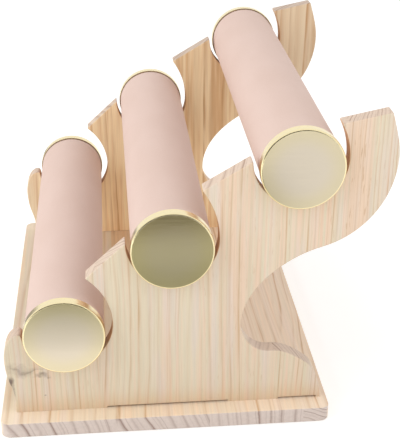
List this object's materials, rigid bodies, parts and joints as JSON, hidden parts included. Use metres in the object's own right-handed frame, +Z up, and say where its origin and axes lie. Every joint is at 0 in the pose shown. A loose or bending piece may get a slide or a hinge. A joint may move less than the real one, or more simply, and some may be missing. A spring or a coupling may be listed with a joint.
{
  "type": "bracelet display rack",
  "caption": "Stepped wooden bracelet rack: pine side panels on a base board cradle loose cloth-covered rolls with metal end caps, each tier higher and further back.",
  "frame": {"origin": "centre of the base board's underside, on the surface that the rack stands on", "axes": "+X along the rolls, towards the right side panel; -Y the front, where the lowest roll is; +Z up"},
  "size_m": [0.313, 0.2649, 0.2236],
  "materials": {
    "pine": "bare sanded pine, pale cream with fine tan grain",
    "cover_cloth": "smooth pale pink microfibre with a soft sheen",
    "cap_metal": "pale satin gold face with a polished rounded edge and skirt",
    "core_board": "matte wound paperboard",
    "plug_wood": "sawn wood",
    "screw_steel": "zinc-plated steel"
  },
  "bodies": {
    "stand": {"base_board": "pine", "right_side_panel": "pine", "left_side_panel": "pine", "right_panel_screw_1": "screw_steel", "right_panel_screw_2": "screw_steel", "right_panel_screw_3": "screw_steel", "left_panel_screw_1": "screw_steel", "left_panel_screw_2": "screw_steel", "left_panel_screw_3": "screw_steel"},
    "lower_hub": {"lower_right_end_plug": "plug_wood", "lower_left_end_plug": "plug_wood"},
    "lower_roll": {"lower_core_tube": "core_board", "lower_cover": "cover_cloth", "lower_right_end_cap": "cap_metal", "lower_left_end_cap": "cap_metal"},
    "middle_hub": {"middle_right_end_plug": "plug_wood", "middle_left_end_plug": "plug_wood"},
    "middle_roll": {"middle_core_tube": "core_board", "middle_cover": "cover_cloth", "middle_right_end_cap": "cap_metal", "middle_left_end_cap": "cap_metal"},
    "upper_hub": {"upper_right_end_plug": "plug_wood", "upper_left_end_plug": "plug_wood"},
    "upper_roll": {"upper_core_tube": "core_board", "upper_cover": "cover_cloth", "upper_right_end_cap": "cap_metal", "upper_left_end_cap": "cap_metal"}
  },
  "joints": [
    {"name": "lower_lift", "type": "slide", "parent": "stand", "child": "lower_hub", "axis": [0, -0.3746, 0.9272], "range_m": [0, 0.1]},
    {"name": "lower_turn", "type": "hinge", "parent": "lower_hub", "child": "lower_roll", "pos_m": [0, -0.0676, 0.0739], "axis": [1, 0, 0], "continuous": true},
    {"name": "middle_lift", "type": "slide", "parent": "stand", "child": "middle_hub", "axis": [0, -0.225, 0.9744], "range_m": [0, 0.1]},
    {"name": "middle_turn", "type": "hinge", "parent": "middle_hub", "child": "middle_roll", "pos_m": [0, 0.0053, 0.1353], "axis": [1, 0, 0], "continuous": true},
    {"name": "upper_lift", "type": "slide", "parent": "stand", "child": "upper_hub", "axis": [0, -0.1736, 0.9848], "range_m": [0, 0.1]},
    {"name": "upper_turn", "type": "hinge", "parent": "upper_hub", "child": "upper_roll", "pos_m": [0, 0.0882, 0.1895], "axis": [1, 0, 0], "continuous": true}
  ]
}
